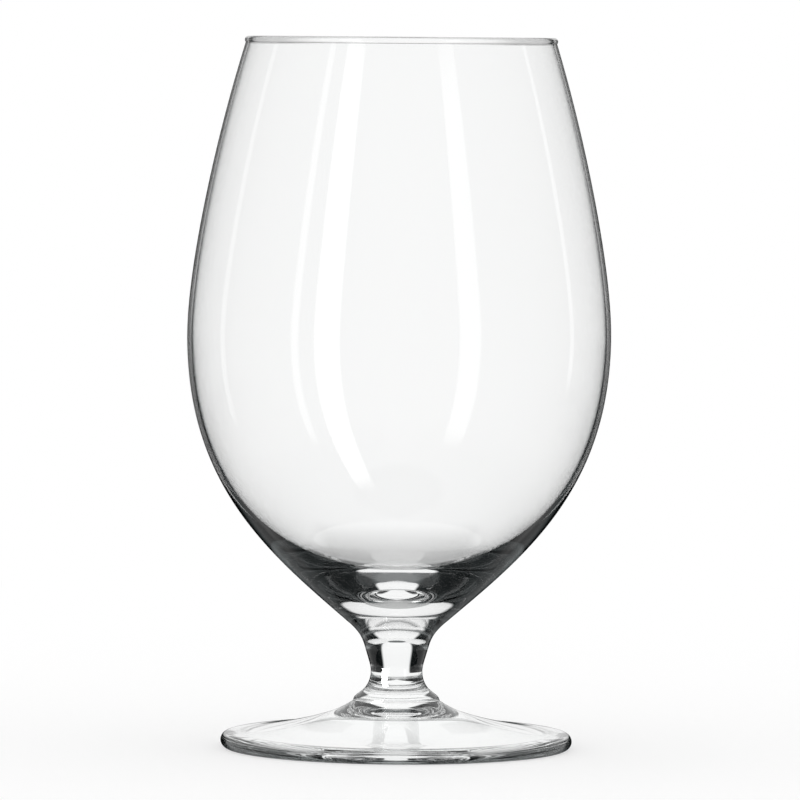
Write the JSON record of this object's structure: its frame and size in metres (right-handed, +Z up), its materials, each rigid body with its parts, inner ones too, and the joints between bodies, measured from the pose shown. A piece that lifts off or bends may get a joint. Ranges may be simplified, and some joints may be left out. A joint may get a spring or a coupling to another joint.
{
  "type": "water goblet",
  "caption": "Clear stemmed water goblet: a tulip-shaped bowl with a thick solid base on a short waisted stem and a round foot, for holding a drink.",
  "frame": {"origin": "centre of the foot on the surface that the goblet stands on", "axes": "+Z up along the axis of revolution, from the foot to the rim"},
  "size_m": [0.087, 0.087, 0.146],
  "materials": {
    "blown_glass": "clear, fire-polished",
    "pressed_glass": "clear, fire-polished"
  },
  "bodies": {
    "root": {"bowl": "blown_glass", "stem": "pressed_glass", "foot": "pressed_glass"}
  },
  "joints": []
}
